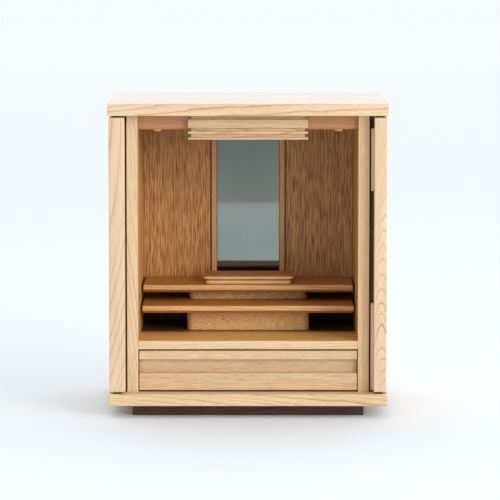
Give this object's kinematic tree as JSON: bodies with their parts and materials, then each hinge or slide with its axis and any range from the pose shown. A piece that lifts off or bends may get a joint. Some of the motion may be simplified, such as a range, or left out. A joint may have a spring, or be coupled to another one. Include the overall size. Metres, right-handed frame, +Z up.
{
  "type": "household altar cabinet",
  "caption": "Table-top household altar cabinet in light ash on a dark plinth, with folded-back doors, a drawer, a mirror niche and a stepped stand.",
  "frame": {"origin": "on the floor under the middle of the case", "axes": "+Z up, -Y out of the front, +X to the right as seen from the front"},
  "size_m": [0.36, 0.268, 0.406],
  "materials": {
    "ash": "satin lacquered light ash",
    "warm_ash": "satin ash, warmer and coarser",
    "dark_walnut": "satin dark walnut",
    "mirror_glass": "grey green tinted mirror",
    "dark_metal": "dark bronzed steel"
  },
  "bodies": {
    "cabinet": {"top_board": "ash", "bottom_board": "ash", "plinth": "dark_walnut", "side_panel_left": "ash", "side_panel_right": "ash", "floor_board": "ash", "rear_board": "warm_ash", "back_panel_left": "warm_ash", "back_panel_right": "warm_ash", "mirror_batten_left": "warm_ash", "mirror_batten_right": "warm_ash", "mirror": "mirror_glass", "lintel": "warm_ash", "lintel_button_left": "warm_ash", "lintel_button_right": "warm_ash", "header": "ash", "lower_shelf": "ash", "upper_shelf": "ash", "lower_block": "ash", "upper_block": "ash", "pedestal_base": "ash", "pedestal_plate": "ash", "drawer_front": "ash", "drawer_side_left": "warm_ash", "drawer_side_right": "warm_ash", "drawer_back": "warm_ash", "drawer_bottom": "warm_ash"},
    "door_left": {"door_left": "ash", "door_pivot_left_top": "dark_metal", "door_pivot_left_bottom": "dark_metal"},
    "door_right": {"door_right": "ash", "door_pivot_right_top": "dark_metal", "door_pivot_right_bottom": "dark_metal"}
  },
  "joints": [
    {"name": "door_left_hinge", "type": "hinge", "parent": "cabinet", "child": "door_left", "pos_m": [-0.1685, -0.1235, 0.211], "axis": [0, 0, 1], "range_deg": [0, 270]},
    {"name": "door_right_hinge", "type": "hinge", "parent": "cabinet", "child": "door_right", "pos_m": [0.1685, -0.1235, 0.211], "axis": [0, 0, -1], "range_deg": [0, 270]}
  ]
}
